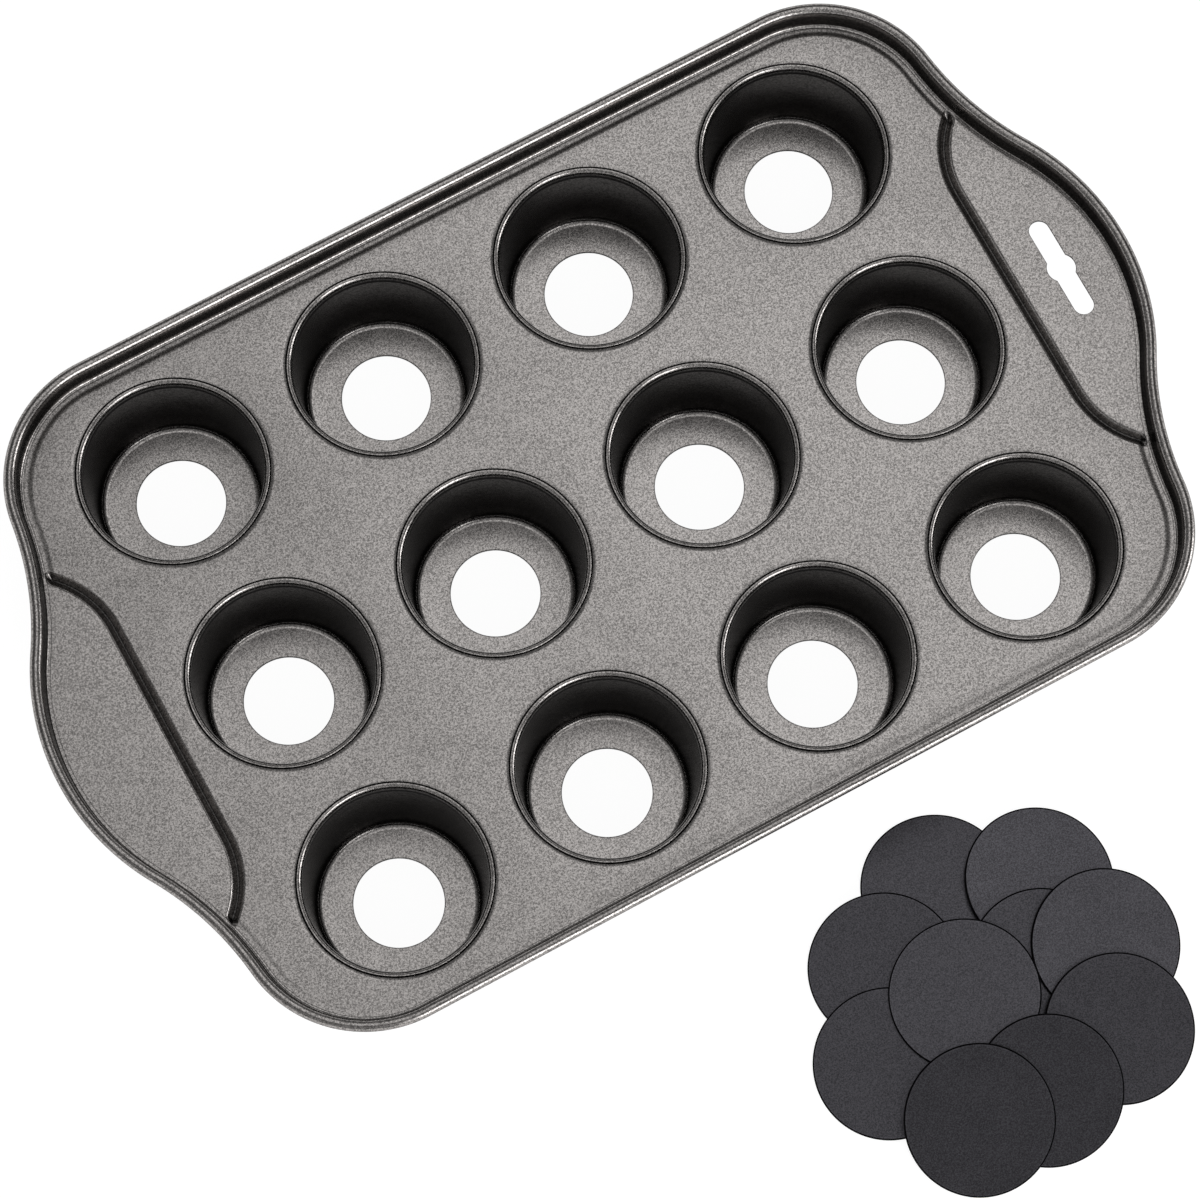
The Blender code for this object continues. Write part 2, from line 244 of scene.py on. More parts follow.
# Camera, in the pan's own frame
CAMERA_AT = (-202.07 * MM, -343.14 * MM, 1336.8 * MM)
CAMERA_VIEW = (0.1364, 0.2299, -0.9636)
CAMERA_UP = (0.4592, 0.8472, 0.2671)
CAMERA_LENS_MM = 144.0
CAMERA_SENSOR_MM = 36
CAMERA_REACH = 100

# Floor and world: the level that lights the object, and what the white background adds to it
FLOOR_SIZE = 12
FLOOR_COLOUR = 0.25
FLOOR_GLOW = 0.92
WORLD_LEVEL = 0.7
WORLD_GLOW = 0.3

# Light tent: level of its cloth, and windows as (direction, inner and outer half angle in degrees, level)
TENT_RADIUS = 4.0
TENT_SEGMENTS = 48
TENT_RINGS = 24
TENT_LEVEL = 0.2
TENT_WINDOWS = (
    ((0.04, 0.06, 1.00), 17, 24, 0.6),
    ((0.26, 0.30, 0.915), 3, 13.5, 0.78),
    ((-0.25, -0.35, 0.90), 5, 50, 0.25),
    ((0.14, -0.86, 0.48), 10, 18, 5.0),
    ((0.88, -0.41, 0.25), 10, 16, 4.0),
)

# Band of light round the tent's foot: elevations in degrees up to which it is full and where it ends, and
# its level
TENT_BAND = (10, 20, 0.75)

# Places read from the frame
tray_low, tray_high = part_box("tray")
cup_low, cup_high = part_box("cup_01")
PAN_ORIGIN = Vector(((tray_low[0] + tray_high[0]) / 2, (tray_low[1] + tray_high[1]) / 2, cup_high[2]))
CUP_DEPTH = cup_high[2] - cup_low[2] - SHEET


def cup_centres():
    """Middles of the cups in the pan's frame, row by row from the far side, in the order of their numbers."""
    return [
        ((column - (CUP_COLUMNS - 1) / 2) * CUP_PITCH, ((CUP_ROWS - 1) / 2 - row) * CUP_PITCH)
        for row in range(CUP_ROWS)
        for column in range(CUP_COLUMNS)
    ]


def arc(centre, radius, start, end, steps):
    """Points from one angle to another, both included."""
    angles = [start + (end - start) * i / steps for i in range(steps + 1)]
    return [(centre[0] + radius * math.cos(a), centre[1] + radius * math.sin(a)) for a in angles]


def circle(centre, radius, sides):
    """Points all round, with the first one not repeated."""
    return arc(centre, radius, 0, FULL_TURN, sides)[:-1]


def outline(inset):
    """The tray's outline, moved inwards by inset. Every inset gives the same number of points."""
    half_row = (CUP_COLUMNS - 1) / 2 * CUP_PITCH
    corner = Vector((half_row + SIDE_STRAIGHT, HALF_WIDTH - CORNER_RADIUS))
    handle = Vector((HALF_LENGTH - HANDLE_RADIUS, 0))
    to_corner, to_handle = WAIST_RADIUS + CORNER_RADIUS, WAIST_RADIUS + HANDLE_RADIUS
    span = corner - handle
    along = (to_handle**2 - to_corner**2 + span.length_squared) / (2 * span.length)
    way = span.normalized()
    waist = handle + way * along + Vector((way.y, -way.x)) * math.sqrt(to_handle**2 - along**2)
    angle_a = math.atan2(waist.y - corner.y, waist.x - corner.x)
    angle_b = math.atan2(waist.y - handle.y, waist.x - handle.x)
    quarter = (
        arc(corner, CORNER_RADIUS - inset, math.pi / 2, angle_a, CORNER_STEPS)
        + arc(waist, WAIST_RADIUS + inset, angle_a + math.pi, angle_b + math.pi, WAIST_STEPS)[1:]
        + arc(handle, HANDLE_RADIUS - inset, angle_b, 0, HANDLE_STEPS)[1:]
    )
    right = quarter + [(x, -y) for x, y in reversed(quarter[:-1])]
    return right + [(-x, -y) for x, y in right]


def border_sections():
    """(inset, height) points of the moat and foot, then of the wall and bead, from the foot's last point."""
    moat = []
    for i in range(MOAT_STEPS + 1):
        share = i / MOAT_STEPS
        ease = (1 - math.cos(math.pi * share)) / 2
        moat.append((MOAT_START + (MOAT_FLOOR - MOAT_START) * share, -MOAT_DEPTH * ease))
    # Edges for the painted shade line in the moat
    for side in (CREASE_EDGES, 0, -CREASE_EDGES):
        moat.append((CREASE_INSET + side * CREASE_HALF_WIDTH, -MOAT_DEPTH))
    foot_height = FOOT_RADIUS - MOAT_DEPTH
    across, up = FOOT_START - BEAD_INSET - BEAD_RADIUS, BEAD_HEIGHT - foot_height
    lean = math.atan2(up, across) + math.asin((FOOT_RADIUS + BEAD_RADIUS) / math.hypot(across, up))
    foot = []
    for i in range(FOOT_STEPS + 1):
        angle = lean * i / FOOT_STEPS
        across, up = FOOT_RADIUS * math.sin(angle), FOOT_RADIUS * math.cos(angle)
        foot.append((FOOT_START - across, foot_height - up))
    bead_middle = (BEAD_INSET + BEAD_RADIUS, BEAD_HEIGHT)
    bead = arc(bead_middle, BEAD_RADIUS, math.pi / 2 - lean, BEAD_END, BEAD_STEPS)
    wall = [
        tuple(a + (b - a) * i / WALL_STEPS for a, b in zip(foot[-1], bead[0]))
        for i in range(1, WALL_STEPS)
    ]
    return moat + foot, [foot[-1]] + wall + bead


def border_distance(points):
    """How far each point is from the outline, which is all round it."""
    loop = np.array(outline(0))
    ends = np.roll(loop, -1, axis=0)
    way = ends - loop
    length = (way**2).sum(axis=1)
    nearest = np.full(len(points), np.inf)
    for start, step, size in zip(loop, way, length):
        along = np.clip((points - start) @ step / size, 0, 1)
        gap = points - start - along[:, None] * step
        nearest = np.minimum(nearest, np.hypot(gap[:, 0], gap[:, 1]))
    return nearest


def cup_distance(points):
    """How far each point is from the middle of the nearest cup."""
    return np.min([np.hypot(points[:, 0] - x, points[:, 1] - y) for x, y in cup_centres()], axis=0)


def past_groove(points):
    """How far each point is from the middle line of the groove on its side, above 0 towards the handle."""
    x, y = np.abs(points[:, 0]), np.abs(points[:, 1])
    turned = GROOVE_TURN_RADIUS - np.hypot(x - GROOVE_X - GROOVE_TURN_RADIUS, y - GROOVE_HALF_STRAIGHT)
    return np.where(y < GROOVE_HALF_STRAIGHT, x - GROOVE_X, turned)


def groove_drop(distance):
    """Depth of the groove's section at a distance from its middle line."""
    run = np.sqrt(distance**2 + GROOVE_BOTTOM_ROUND**2) - GROOVE_BOTTOM_ROUND
    reach = math.hypot(GROOVE_HALF_WIDTH, GROOVE_BOTTOM_ROUND) - GROOVE_BOTTOM_ROUND
    drop = GROOVE_DEPTH * (1 - run / reach)
    return (drop + np.sqrt(drop**2 + GROOVE_SHOULDER_ROUND**2)) / 2


def ramp_up(values, start, end):
    """0 up to start, 1 from end on, and an even rise between them."""
    return np.clip((values - start) / (end - start), 0, 1)


def deck_height(points):
    """Height of the deck's top face at each point, with the moat, the dips round the cups and the grooves.

    The moat ends at the grooves, so the handles have none.
    """
    inset = border_distance(points)
    section = np.array(border_sections()[0])[::-1]
    border = np.interp(inset, section[:, 0], section[:, 1], right=0)
    handle = ramp_up(past_groove(points), -GROOVE_HALF_WIDTH / 2, GROOVE_HALF_WIDTH / 2)
    border += (np.maximum(border, 0) - border) * handle
    dip = DIP_DEPTH * ramp_up(cup_distance(points), DIP_RADIUS, SEAT_RADIUS) ** DIP_POWER
    fade = ramp_up(inset, *GROOVE_FADE)
    groove = groove_drop(past_groove(points)) * fade**2 * (3 - 2 * fade)
    groove[groove < GROOVE_LEAST_DROP] = 0
    return border - dip - groove


def deck_shade(points):
    """Painted shade on the deck: in the grooves, along the moat, at the foot of the wall and round the slot.
    """
    inset = border_distance(points)
    away = past_groove(points)
    side = ramp_up(groove_drop(away), 0, GROOVE_DEPTH * GROOVE_SHADE_FULL) * GROOVE_SHADE
    bottom = np.interp(np.abs(away), GROOVE_BOTTOM_BAND, (GROOVE_BOTTOM_SHADE, 0))
    groove = np.maximum(side, bottom) * ramp_up(inset, *GROOVE_SHADE_FADE)
    foot = ramp_up((FOOT_START - inset) / FOOT_RADIUS, BORDER_SHADE_START, 1) * BORDER_SHADE
    crease = np.clip(1 - np.abs(inset - CREASE_INSET) / CREASE_HALF_WIDTH, 0, 1) * CREASE_SHADE
    # Painted shade round the hanging slot's edge
    edge = inside(points, slot_outline(EDGE_BAND / 2)) * EDGE_SHADE
    return np.maximum.reduce([groove, foot, crease, edge, np.full(len(points), DECK_SHADE)])


def slot_outline(grow=0.0):
    """The hanging slot's outline, moved outwards by grow."""
    half_width = SLOT_WIDTH / 2
    end = SLOT_LENGTH / 2 - half_width
    wide, hole = half_width + grow, SLOT_HOLE_RADIUS + grow
    spread = math.acos(wide / hole)
    return (
        arc((SLOT_X, end), wide, math.pi, 0, SLOT_END_STEPS)
        + arc((SLOT_X, 0), hole, spread, -spread, SLOT_HOLE_STEPS)
        + arc((SLOT_X, -end), wide, 0, -math.pi, SLOT_END_STEPS)
        + arc((SLOT_X, 0), hole, math.pi + spread, math.pi - spread, SLOT_HOLE_STEPS)
    )


def groove_lines():
    """Lines along both grooves, at each of GROOVE_LINES to either side, where the deck's mesh needs edges."""
    lines = []
    centre = (GROOVE_X + GROOVE_TURN_RADIUS, GROOVE_HALF_STRAIGHT)
    offsets = [-away * MM for away in reversed(GROOVE_LINES)] + [away * MM for away in GROOVE_LINES]
    for side_x in (1, -1):
        for offset in offsets:
            radius = GROOVE_TURN_RADIUS - offset
            turn = np.array(arc(centre, radius, math.pi, math.pi - GROOVE_TURN, GROOVE_TURN_STEPS))
            turn = turn[border_distance(turn) > GROOVE_FADE[0]]
            line = np.concatenate([turn[::-1], turn * (1, -1)]) * (side_x, 1)
            lines.append([tuple(p) for p in line])
    return lines


def inside(points, loop):
    """Whether each point is inside the closed loop."""
    x, y = points[:, 0], points[:, 1]
    found = np.zeros(len(points), bool)
    for (ax, ay), (bx, by) in zip(loop, loop[1:] + loop[:1]):
        if ay != by:
            crosses = (ay > y) != (by > y)
            found ^= crosses & (x < (bx - ax) * (y - ay) / (by - ay) + ax)
    return found


def deck_mesh(bm, layer):
    """Adds the deck's top face, out to the foot of the wall."""
    foot = border_sections()[0]
    rings = [outline(inset) for inset, _ in foot]
    spread = DIP_RADIUS - SEAT_RADIUS
    for centre in cup_centres():
        for i in range(DIP_STEPS + 1):
            rings.append(circle(centre, SEAT_RADIUS + spread * i / DIP_STEPS, RING_SIDES))
    rings += [slot_outline(), slot_outline(EDGE_BAND)]
    coords, edges = [], []
    for ring in rings:
        start = len(coords)
        coords += ring
        edges += [(start + i, start + (i + 1) % len(ring)) for i in range(len(ring))]
    for line in groove_lines():
        start = len(coords)
        coords += line
        edges += [(start + i, start + i + 1) for i in range(len(line) - 1)]
    scaled = [Vector((x / MM, y / MM)) for x, y in coords]
    points, _, faces, *_ = delaunay_2d_cdt(scaled, edges, [], HULL_TRIANGLES, TRIANGLES_WELD_MM)
    flat = np.array([tuple(p) for p in points]) * MM
    faces = np.array([tuple(f) for f in faces])
    middle = flat[faces].mean(axis=1)
    keep = inside(middle, rings[len(foot) - 1]) & ~inside(middle, slot_outline())
    keep &= cup_distance(middle) > SEAT_RADIUS * math.cos(math.pi / RING_SIDES)
    height = deck_height(flat)
    shade = deck_shade(flat)
    verts = {}
    for face in faces[keep]:
        for i in face:
            if i not in verts:
                verts[i] = bm.verts.new((*flat[i], height[i]))
                verts[i][layer] = shade[i]
        bm.faces.new([verts[i] for i in face])


def shaded_loop(bm, layer, points, height, shade):
    """New vertices at one height, all with the same shade."""
    loop = [bm.verts.new((x, y, height)) for x, y in points]
    for vert in loop:
        vert[layer] = shade
    return loop


def turned_loops(bm, layer, section, sides, centre=(0, 0)):
    """A ring of vertices round the centre for each (radius, height, shade) of the section."""
    return [shaded_loop(bm, layer, circle(centre, radius, sides), *rest) for radius, *rest in section]


def bridge(bm, loops):
    """Joins each loop of vertices to the next one by faces."""
    for a, b in zip(loops, loops[1:]):
        for i in range(len(a)):
            j = (i + 1) % len(a)
            bm.faces.new((a[i], a[j], b[j], b[i]))


def finish_mesh(name, bm, sharp=SHARP_ANGLE):
    """A welded and smoothly shaded mesh that keeps its sharp edges."""
    bmesh.ops.remove_doubles(bm, verts=bm.verts, dist=WELD)
    bmesh.ops.recalc_face_normals(bm, faces=bm.faces)
    mesh = bpy.data.meshes.new(name)
    bm.to_mesh(mesh)
    bm.free()
    mesh.shade_smooth()
    mesh.set_sharp_from_angle(angle=sharp)
    return mesh


def add_piece(name, mesh, body, node, place):
    """Adds an object that stands for a node of the frame and rides on its body."""
    piece = bpy.data.objects.new(name, mesh)
    bpy.context.scene.collection.objects.link(piece)
    piece.matrix_world = place
    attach(piece, body)
    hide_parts(node)
    return piece


def thickened(name, mesh, thickness):
    """A closed mesh made from an open one by giving it thickness on the side away from its normals."""
    sheet = bpy.data.objects.new(name, mesh)
    bpy.context.scene.collection.objects.link(sheet)
    solidify = sheet.modifiers.new("sheet", "SOLIDIFY")
    solidify.thickness = thickness
    solidify.offset = -1
    solidify.use_even_offset = True
    graph = bpy.context.evaluated_depsgraph_get()
    solid = bpy.data.meshes.new_from_object(sheet.evaluated_get(graph))
    bpy.data.objects.remove(sheet, do_unlink=True)
    solid.name = name
    solid.shade_smooth()
    solid.set_sharp_from_angle(angle=SHARP_ANGLE)
    return solid


def border_shade(inset, height):
    """Painted shade on the wall, which ends below the bead's middle, and the painted dark line along the
    bead.
    """
    clear = min(max((height - BEAD_HEIGHT + BEAD_CLEAR) / BEAD_CLEAR, 0), 1)
    angle = math.atan2(height - BEAD_HEIGHT, inset - BEAD_INSET - BEAD_RADIUS)
    line = max(1 - abs(angle - BEAD_LINE_AT) / BEAD_LINE_HALF_WIDTH, 0)
    return max(BORDER_SHADE * (1 - clear), BEAD_LINE_SHADE * line)


def build_tray():
    bm = bmesh.new()
    layer = bm.verts.layers.float.new(SHADE)
    deck_mesh(bm, layer)
    border = [
        shaded_loop(bm, layer, outline(inset), height, border_shade(inset, height))
        for inset, height in border_sections()[1]
    ]
    bridge(bm, border)
    # The seat's ring faces are painted black, a painted shadow in the seam's gap
    seat = (
        (SEAT_RADIUS, -DIP_DEPTH, DECK_SHADE),
        (SEAT_RADIUS, -DIP_DEPTH - SEAT_EDGE, FULL_SHADE),
        (SEAT_RADIUS, -SEAT_DEPTH, FULL_SHADE),
        (SEAT_RADIUS - SEAT_WIDTH, -SEAT_DEPTH, FULL_SHADE),
    )
    for centre in cup_centres():
        bridge(bm, turned_loops(bm, layer, seat, RING_SIDES, centre))
    mesh = finish_mesh("tray_surface", bm)
    up = sum(polygon.normal.z * polygon.area for polygon in mesh.polygons)
    if up < 0:
        mesh.flip_normals()
    solid = thickened("tray_fine", mesh, SHEET)
    return add_piece("tray_fine", solid, "pan", "tray", Matrix.Translation(PAN_ORIGIN))


def rounded(points, radius, steps):
    """A line of (radius, height) points whose inner corners are rounded."""
    line = [points[0]]
    for before, corner, after in zip(points, points[1:], points[2:]):
        at = Vector(corner)
        start, end = (Vector(before) - at).normalized(), (Vector(after) - at).normalized()
        half = start.angle(end) / 2
        cut = radius / math.tan(half)
        centre = at + (start + end).normalized() * radius / math.sin(half)
        a, b = at + start * cut - centre, at + end * cut - centre
        sweep = a.angle_signed(b)
        for i in range(steps + 1):
            turned = Matrix.Rotation(-sweep * i / steps, 2) @ a
            line.append(tuple(centre + turned))
    return line + [points[-1]]


def cup_section():
    """Inner face of a cup from the lip's outer edge to the base hole, with heights above the deck."""
    start = LIP_RADIUS - LIP_EDGE_ROUND
    line = [(LIP_RADIUS, -LIP_EDGE_DROP)]
    line += arc((start, -LIP_EDGE_ROUND), LIP_EDGE_ROUND, 0, math.pi / 2, LIP_EDGE_STEPS)
    for cos, sin in arc((0, 0), 1, 0, math.pi / 2, LIP_STEPS)[1:]:
        line.append((start - (start - CUP_TOP_RADIUS) * sin, -LIP_DROP * (1 - cos)))
    top = (CUP_TOP_RADIUS + LIP_STEP, -LIP_DROP - LIP_STEP)
    corner = [top, (CUP_BASE_RADIUS, -CUP_DEPTH), (BASE_HOLE_RADIUS, -CUP_DEPTH)]
    corner = rounded(corner, CUP_CORNER, CUP_CORNER_STEPS)
    foot = corner[1]
    line.append(top)
    # Points at each height of CUP_SHADES, so that the painted shade follows that table
    for height in sorted((h * MM for h, _ in CUP_SHADES), reverse=True):
        share = (height - top[1]) / (foot[1] - top[1])
        if 0 < share < 1:
            line.append((top[0] + (foot[0] - top[0]) * share, height))
    return line + corner[1:-1] + [(BASE_HOLE_RADIUS + HOLE_EDGE_BAND, -CUP_DEPTH), corner[-1]]


def cup_shade(radius, height):
    """Painted shade on a cup's inner face at a point: in the seam, under the lip and on the wall."""
    if radius > LIP_RADIUS - SEAM_WIDTH:
        return FULL_SHADE
    heights, shades = np.array(CUP_SHADES).T
    return float(np.interp(height, heights * MM, shades))


def offset_section(section, thickness):
    """The section moved to its left by thickness."""
    points = [Vector(p) for p in section]
    ways = [(b - a).normalized() for a, b in zip(points, points[1:])]
    lefts = [Vector((-w.y, w.x)) for w in ways]
    before, after = [lefts[0]] + lefts, lefts + [lefts[-1]]
    return [tuple(p + (m + n) / (1 + m.dot(n)) * thickness) for p, m, n in zip(points, before, after)]


def build_cups():
    inner = cup_section()
    outer = offset_section(inner, SHEET)[::-1]
    # Painted shade: black at the base hole's cut edge, and an even painted shade on the cup's outer face
    shades = [cup_shade(*point) for point in inner[:-1]] + [FULL_SHADE] * 2
    shades += [CUP_OUTSIDE_SHADE] * (len(outer) - 1)
    bm = bmesh.new()
    layer = bm.verts.layers.float.new(SHADE)
    section = [(*point, shade) for point, shade in zip(inner + outer, shades)]
    loops = turned_loops(bm, layer, section, CUP_SIDES)
    bridge(bm, loops + loops[:1])
    mesh = finish_mesh("cup_fine", bm)
    cups = []
    for number, (x, y) in enumerate(cup_centres(), 1):
        place = Matrix.Translation(PAN_ORIGIN + Vector((x, y, 0)))
        cups.append(add_piece(f"cup_fine_{number:02d}", mesh, "pan", f"cup_{number:02d}", place))
    return cups


def disc_place(node):
    """A disc's middle, tilt, radius and thickness, read from its solid."""
    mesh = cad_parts[node].data
    corners = np.array([tuple(vertex.co) for vertex in mesh.vertices])
    points = np.unique(corners.round(SAME_POINT_DECIMALS), axis=0)
    middle = points.mean(axis=0)
    _, _, axes = np.linalg.svd(points - middle)
    up = Vector(axes[2] if axes[2][2] > 0 else -axes[2])
    along = (points - middle) @ np.array(up)
    radius = np.hypot(*((points - middle) - np.outer(along, up)).T[:2]).max()
    turn = Vector((0, 0, 1)).rotation_difference(up).to_matrix().to_4x4()
    return Vector(middle), turn, radius, along.max() - along.min()


def disc_section(radius, thickness, tone):
    """(radius, height, shade) from the flat of a disc's top, over its painted highlight and round its painted
    dark edge, to that of its underside.
    """
    half = thickness / 2
    band = radius - DISC_EDGE_BAND
    gleam = band - DISC_EDGE_BLEND
    flat = gleam - DISC_GLEAM_BAND
    corners = [(band, half), (radius, half), (radius, -half), (band, -half)]
    edge = rounded(corners, DISC_EDGE_ROUND, DISC_EDGE_STEPS)
    # Painted highlight: a paler ring just inside the painted dark edge line
    highlight_tone = max(tone - DISC_GLEAM, 0)
    top = [(flat, half, tone), (gleam, half, highlight_tone)]
    under = [(gleam, -half, highlight_tone), (flat, -half, tone)]
    return top + [(*point, DISC_EDGE_SHADE) for point in edge] + under


def build_discs():
    discs = []
    for number, tone in enumerate(DISC_TONES, 1):
        node = f"base_disc_{number:02d}"
        middle, turn, radius, thickness = disc_place(node)
        bm = bmesh.new()
        layer = bm.verts.layers.float.new(SHADE)
        loops = turned_loops(bm, layer, disc_section(radius, thickness, tone), DISC_SIDES)
        bridge(bm, loops)
        bm.faces.new(loops[0])
        bm.faces.new(loops[-1])
        name = f"disc_fine_{number:02d}"
        mesh = finish_mesh(name, bm, DISC_SHARP_ANGLE)
        mesh.transform(turn)
        discs.append(add_piece(name, mesh, f"disc_{number:02d}", node, Matrix.Translation(middle)))
    return discs


class Nodes:
    """Short ways to add and link shader nodes."""

    def __init__(self, owner):
        owner.use_nodes = True
        self.tree = owner.node_tree
        self.tree.nodes.clear()

    def add(self, kind, **settings):
        node = self.tree.nodes.new(kind)
        for name, value in settings.items():
            setattr(node, name, value)
        return node

    def link(self, source, target):
        self.tree.links.new(source, target)

    def math(self, operation, a, b, clamp=False):
        node = self.add("ShaderNodeMath", operation=operation, use_clamp=clamp)
        for socket, value in zip(node.inputs, (a, b)):
            if isinstance(value, (int, float)):
                socket.default_value = value
            else:
                self.link(value, socket)
        return node.outputs[0]

    def noise(self, vector, scale, detail, roughness=0.5):
        node = self.add("ShaderNodeTexNoise")
        node.inputs["Scale"].default_value = scale
        node.inputs["Detail"].default_value = detail
        node.inputs["Roughness"].default_value = roughness
        self.link(vector, node.inputs["Vector"])
        return node.outputs["Fac"]

    def ramp(self, value, stops):
        """A colour between two (position, colour) stops."""
        node = self.add("ShaderNodeValToRGB")
        for element, (position, colour) in zip(node.color_ramp.elements, stops):
            element.position = position
            element.color = (*colour, 1)
        self.link(value, node.inputs["Fac"])
        return node.outputs["Color"]

    def smooth_rise(self, value, start, end, level):
        """0 where the value is at start, rising smoothly to level where it is at end."""
        node = self.add("ShaderNodeMapRange", interpolation_type="SMOOTHSTEP")
        self.link(value, node.inputs["Value"])
        node.inputs["From Min"].default_value = start
        node.inputs["From Max"].default_value = end
        node.inputs["To Max"].default_value = level
        return node.outputs["Result"]


def new_material(name, surface):
    """A material, its nodes and the shader of the given kind that makes its surface."""
    made = bpy.data.materials.new(name)
    nodes = Nodes(made)
    shader = nodes.add(surface)
    output = nodes.add("ShaderNodeOutputMaterial")
    nodes.link(shader.outputs[0], output.inputs["Surface"])
    return made, nodes, shader


def coat_material(name, dark, light, roughness, grains):
    """A sprayed non-stick coat: a two-tone fleck, soft mottling, a fine bump, and the painted shade from its
    mesh.
    """
    made, nodes, shader = new_material(name, "ShaderNodeBsdfPrincipled")
    place = nodes.add("ShaderNodeTexCoord").outputs["Object"]
    seed = nodes.add("ShaderNodeObjectInfo").outputs["Random"]
    turn = nodes.add("ShaderNodeMapping")
    turn.inputs["Rotation"].default_value = GRAIN_TURN
    nodes.link(place, turn.inputs["Vector"])
    shift = nodes.add("ShaderNodeVectorMath", operation="ADD")
    nodes.link(turn.outputs[0], shift.inputs[0])
    nodes.link(seed, shift.inputs[1])
    vector = shift.outputs[0]
    coarse, fine = [
        nodes.math("MULTIPLY", nodes.noise(vector, scale, GRAIN_DETAIL), share)
        for scale, share in zip(grains, GRAIN_SHARES)
    ]
    mottle = nodes.noise(vector, MOTTLE_SCALE, MOTTLE_DETAIL, MOTTLE_ROUGHNESS)
    fleck = nodes.math("ADD", coarse, fine)
    tone = nodes.math("MULTIPLY", nodes.math("SUBTRACT", mottle, NOISE_MIDDLE), MOTTLE_TONE)
    colour = nodes.ramp(nodes.math("ADD", fleck, tone), list(zip(FLECK_LEVELS, (dark, light))))
    # Painted shade: the mesh's shade attribute darkens the fleck's colour
    shade = nodes.add("ShaderNodeAttribute", attribute_name=SHADE).outputs["Fac"]
    keep = nodes.math("SUBTRACT", 1.0, shade, clamp=True)
    scaled = nodes.add("ShaderNodeVectorMath", operation="SCALE")
    nodes.link(colour, scaled.inputs[0])
    nodes.link(keep, scaled.inputs["Scale"])
    nodes.link(scaled.outputs[0], shader.inputs["Base Color"])
    gloss = nodes.math("MULTIPLY", mottle, MOTTLE_GLOSS)
    rough = nodes.math("ADD", gloss, roughness - MOTTLE_GLOSS * NOISE_MIDDLE)
    nodes.link(rough, shader.inputs["Roughness"])
    shader.inputs["Metallic"].default_value = COAT_METALLIC
    shader.inputs["Specular Tint"].default_value = (COAT_EDGE_TINT, COAT_EDGE_TINT, COAT_EDGE_TINT, 1)
    bump = nodes.add("ShaderNodeBump")
    bump.inputs["Strength"].default_value = BUMP_STRENGTH
    bump.inputs["Distance"].default_value = BUMP_DISTANCE
    nodes.link(fleck, bump.inputs["Height"])
    nodes.link(bump.outputs[0], shader.inputs["Normal"])
    return made


def wire_material():
    """Bare drawn wire with a fine grain."""
    made, nodes, shader = new_material("bare_wire_finish", "ShaderNodeBsdfPrincipled")
    grain = nodes.noise(nodes.add("ShaderNodeTexCoord").outputs["Object"], WIRE_GRAIN, WIRE_GRAIN_DETAIL)
    nodes.link(nodes.ramp(grain, WIRE_COLOURS), shader.inputs["Base Color"])
    shader.inputs["Metallic"].default_value = 1
    shader.inputs["Roughness"].default_value = WIRE_ROUGHNESS
    return made


def paint(piece, made):
    """Gives a piece its one material."""
    piece.data.materials.clear()
    piece.data.materials.append(made)


def shown_background(nodes):
    """1 for rays that should see the plain white background: from the camera, off gloss and through glass."""
    path = nodes.add("ShaderNodeLightPath")
    seen = nodes.math("ADD", path.outputs["Is Camera Ray"], path.outputs["Is Glossy Ray"])
    return nodes.math("ADD", seen, path.outputs["Is Transmission Ray"], clamp=True)


def add_floor():
    """A white floor that shows its own plain colour and keeps a soft shadow of the object."""
    bpy.ops.mesh.primitive_plane_add(size=FLOOR_SIZE)
    floor = bpy.context.object
    floor.name = "floor"
    made, nodes, both = new_material("floor_white", "ShaderNodeAddShader")
    diffuse = nodes.add("ShaderNodeBsdfDiffuse")
    diffuse.inputs["Color"].default_value = (FLOOR_COLOUR, FLOOR_COLOUR, FLOOR_COLOUR, 1)
    glow = nodes.add("ShaderNodeEmission")
    nodes.link(nodes.math("MULTIPLY", shown_background(nodes), FLOOR_GLOW), glow.inputs["Strength"])
    nodes.link(diffuse.outputs[0], both.inputs[0])
    nodes.link(glow.outputs[0], both.inputs[1])
    floor.data.materials.append(made)


def add_world():
    """A white world that lights the object less than it shows."""
    world = bpy.data.worlds.new("studio")
    bpy.context.scene.world = world
    nodes = Nodes(world)
    output = nodes.add("ShaderNodeOutputWorld")
    background = nodes.add("ShaderNodeBackground")
    background.inputs["Color"].default_value = (1, 1, 1, 1)
    extra = nodes.math("MULTIPLY", shown_background(nodes), WORLD_GLOW)
    nodes.link(nodes.math("ADD", extra, WORLD_LEVEL), background.inputs["Strength"])
    nodes.link(background.outputs[0], output.inputs["Surface"])


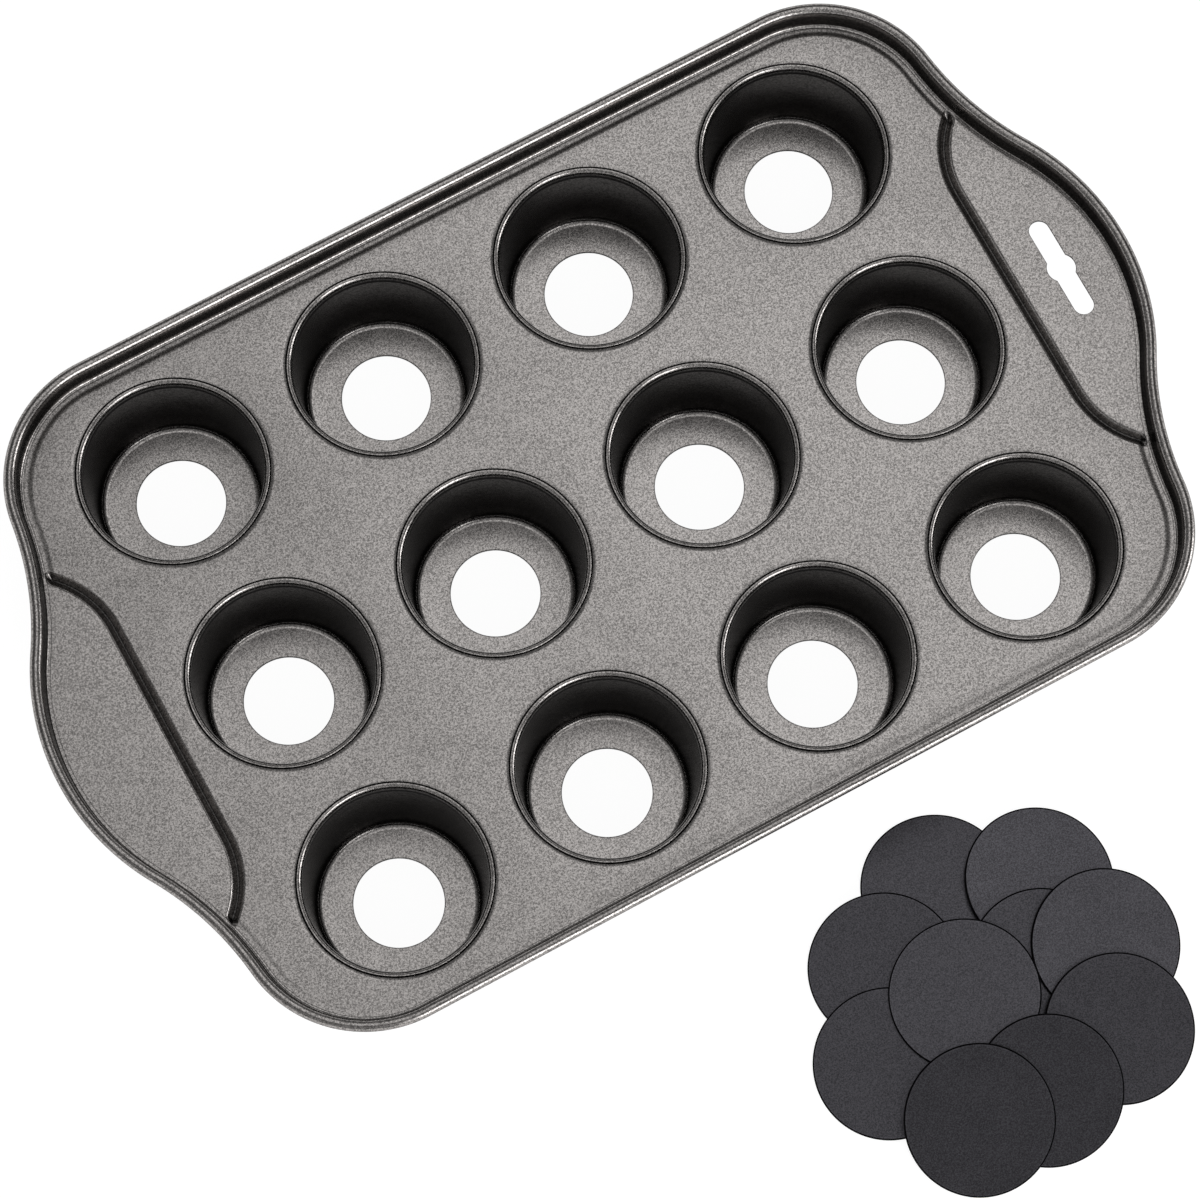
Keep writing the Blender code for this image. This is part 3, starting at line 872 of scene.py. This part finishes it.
def tent_material():
    """Glowing cloth: an even level, a band of light round its foot, and soft round windows."""
    made, nodes, glow = new_material("tent_light", "ShaderNodeEmission")
    way = nodes.add("ShaderNodeVectorMath", operation="NORMALIZE")
    nodes.link(nodes.add("ShaderNodeTexCoord").outputs["Object"], way.inputs[0])
    height = nodes.add("ShaderNodeSeparateXYZ")
    nodes.link(way.outputs[0], height.inputs[0])
    full, end, level = TENT_BAND
    ends = math.sin(math.radians(end)), math.sin(math.radians(full))
    band = nodes.smooth_rise(height.outputs["Z"], *ends, level)
    total = nodes.math("ADD", TENT_LEVEL, band)
    for direction, inner, outer, level in TENT_WINDOWS:
        turn = nodes.add("ShaderNodeVectorMath", operation="DOT_PRODUCT")
        nodes.link(way.outputs[0], turn.inputs[0])
        turn.inputs[1].default_value = Vector(direction).normalized()
        ends = math.cos(math.radians(outer)), math.cos(math.radians(inner))
        window = nodes.smooth_rise(turn.outputs["Value"], *ends, level)
        total = nodes.math("ADD", total, window)
    nodes.link(total, glow.inputs["Strength"])
    return made


def add_tent():
    """A light tent over the set, half a sphere that the camera doesn't see."""
    bpy.ops.mesh.primitive_uv_sphere_add(segments=TENT_SEGMENTS, ring_count=TENT_RINGS, radius=TENT_RADIUS)
    tent = bpy.context.object
    tent.name = "light_tent"
    bm = bmesh.new()
    bm.from_mesh(tent.data)
    below_floor = [vert for vert in bm.verts if vert.co.z < -MM]
    bmesh.ops.delete(bm, geom=below_floor, context="VERTS")
    bm.to_mesh(tent.data)
    bm.free()
    tent.data.materials.append(tent_material())
    tent.visible_camera = False


def add_camera():
    data = bpy.data.cameras.new("camera")
    data.lens = CAMERA_LENS_MM
    data.sensor_width = CAMERA_SENSOR_MM
    data.clip_end = CAMERA_REACH
    camera = bpy.data.objects.new("camera", data)
    bpy.context.scene.collection.objects.link(camera)
    view, up = Vector(CAMERA_VIEW).normalized(), Vector(CAMERA_UP)
    right = view.cross(up).normalized()
    up = right.cross(view)
    turn = Matrix((right, up, -view)).transposed().to_4x4()
    camera.matrix_world = Matrix.Translation(PAN_ORIGIN + Vector(CAMERA_AT)) @ turn
    bpy.context.scene.camera = camera


pan_coat = coat_material("pan_coat", *PAN_COAT)
disc_coat = coat_material("disc_coat", *DISC_COAT)
paint(build_tray(), pan_coat)
for cup in build_cups():
    paint(cup, pan_coat)
for disc in build_discs():
    paint(disc, disc_coat)
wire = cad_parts["rim_wire"]
wire.data.materials.clear()
wire.data.materials.append(wire_material())
add_floor()
add_world()
add_tent()
add_camera()
bpy.context.scene.view_settings.view_transform = "Standard"
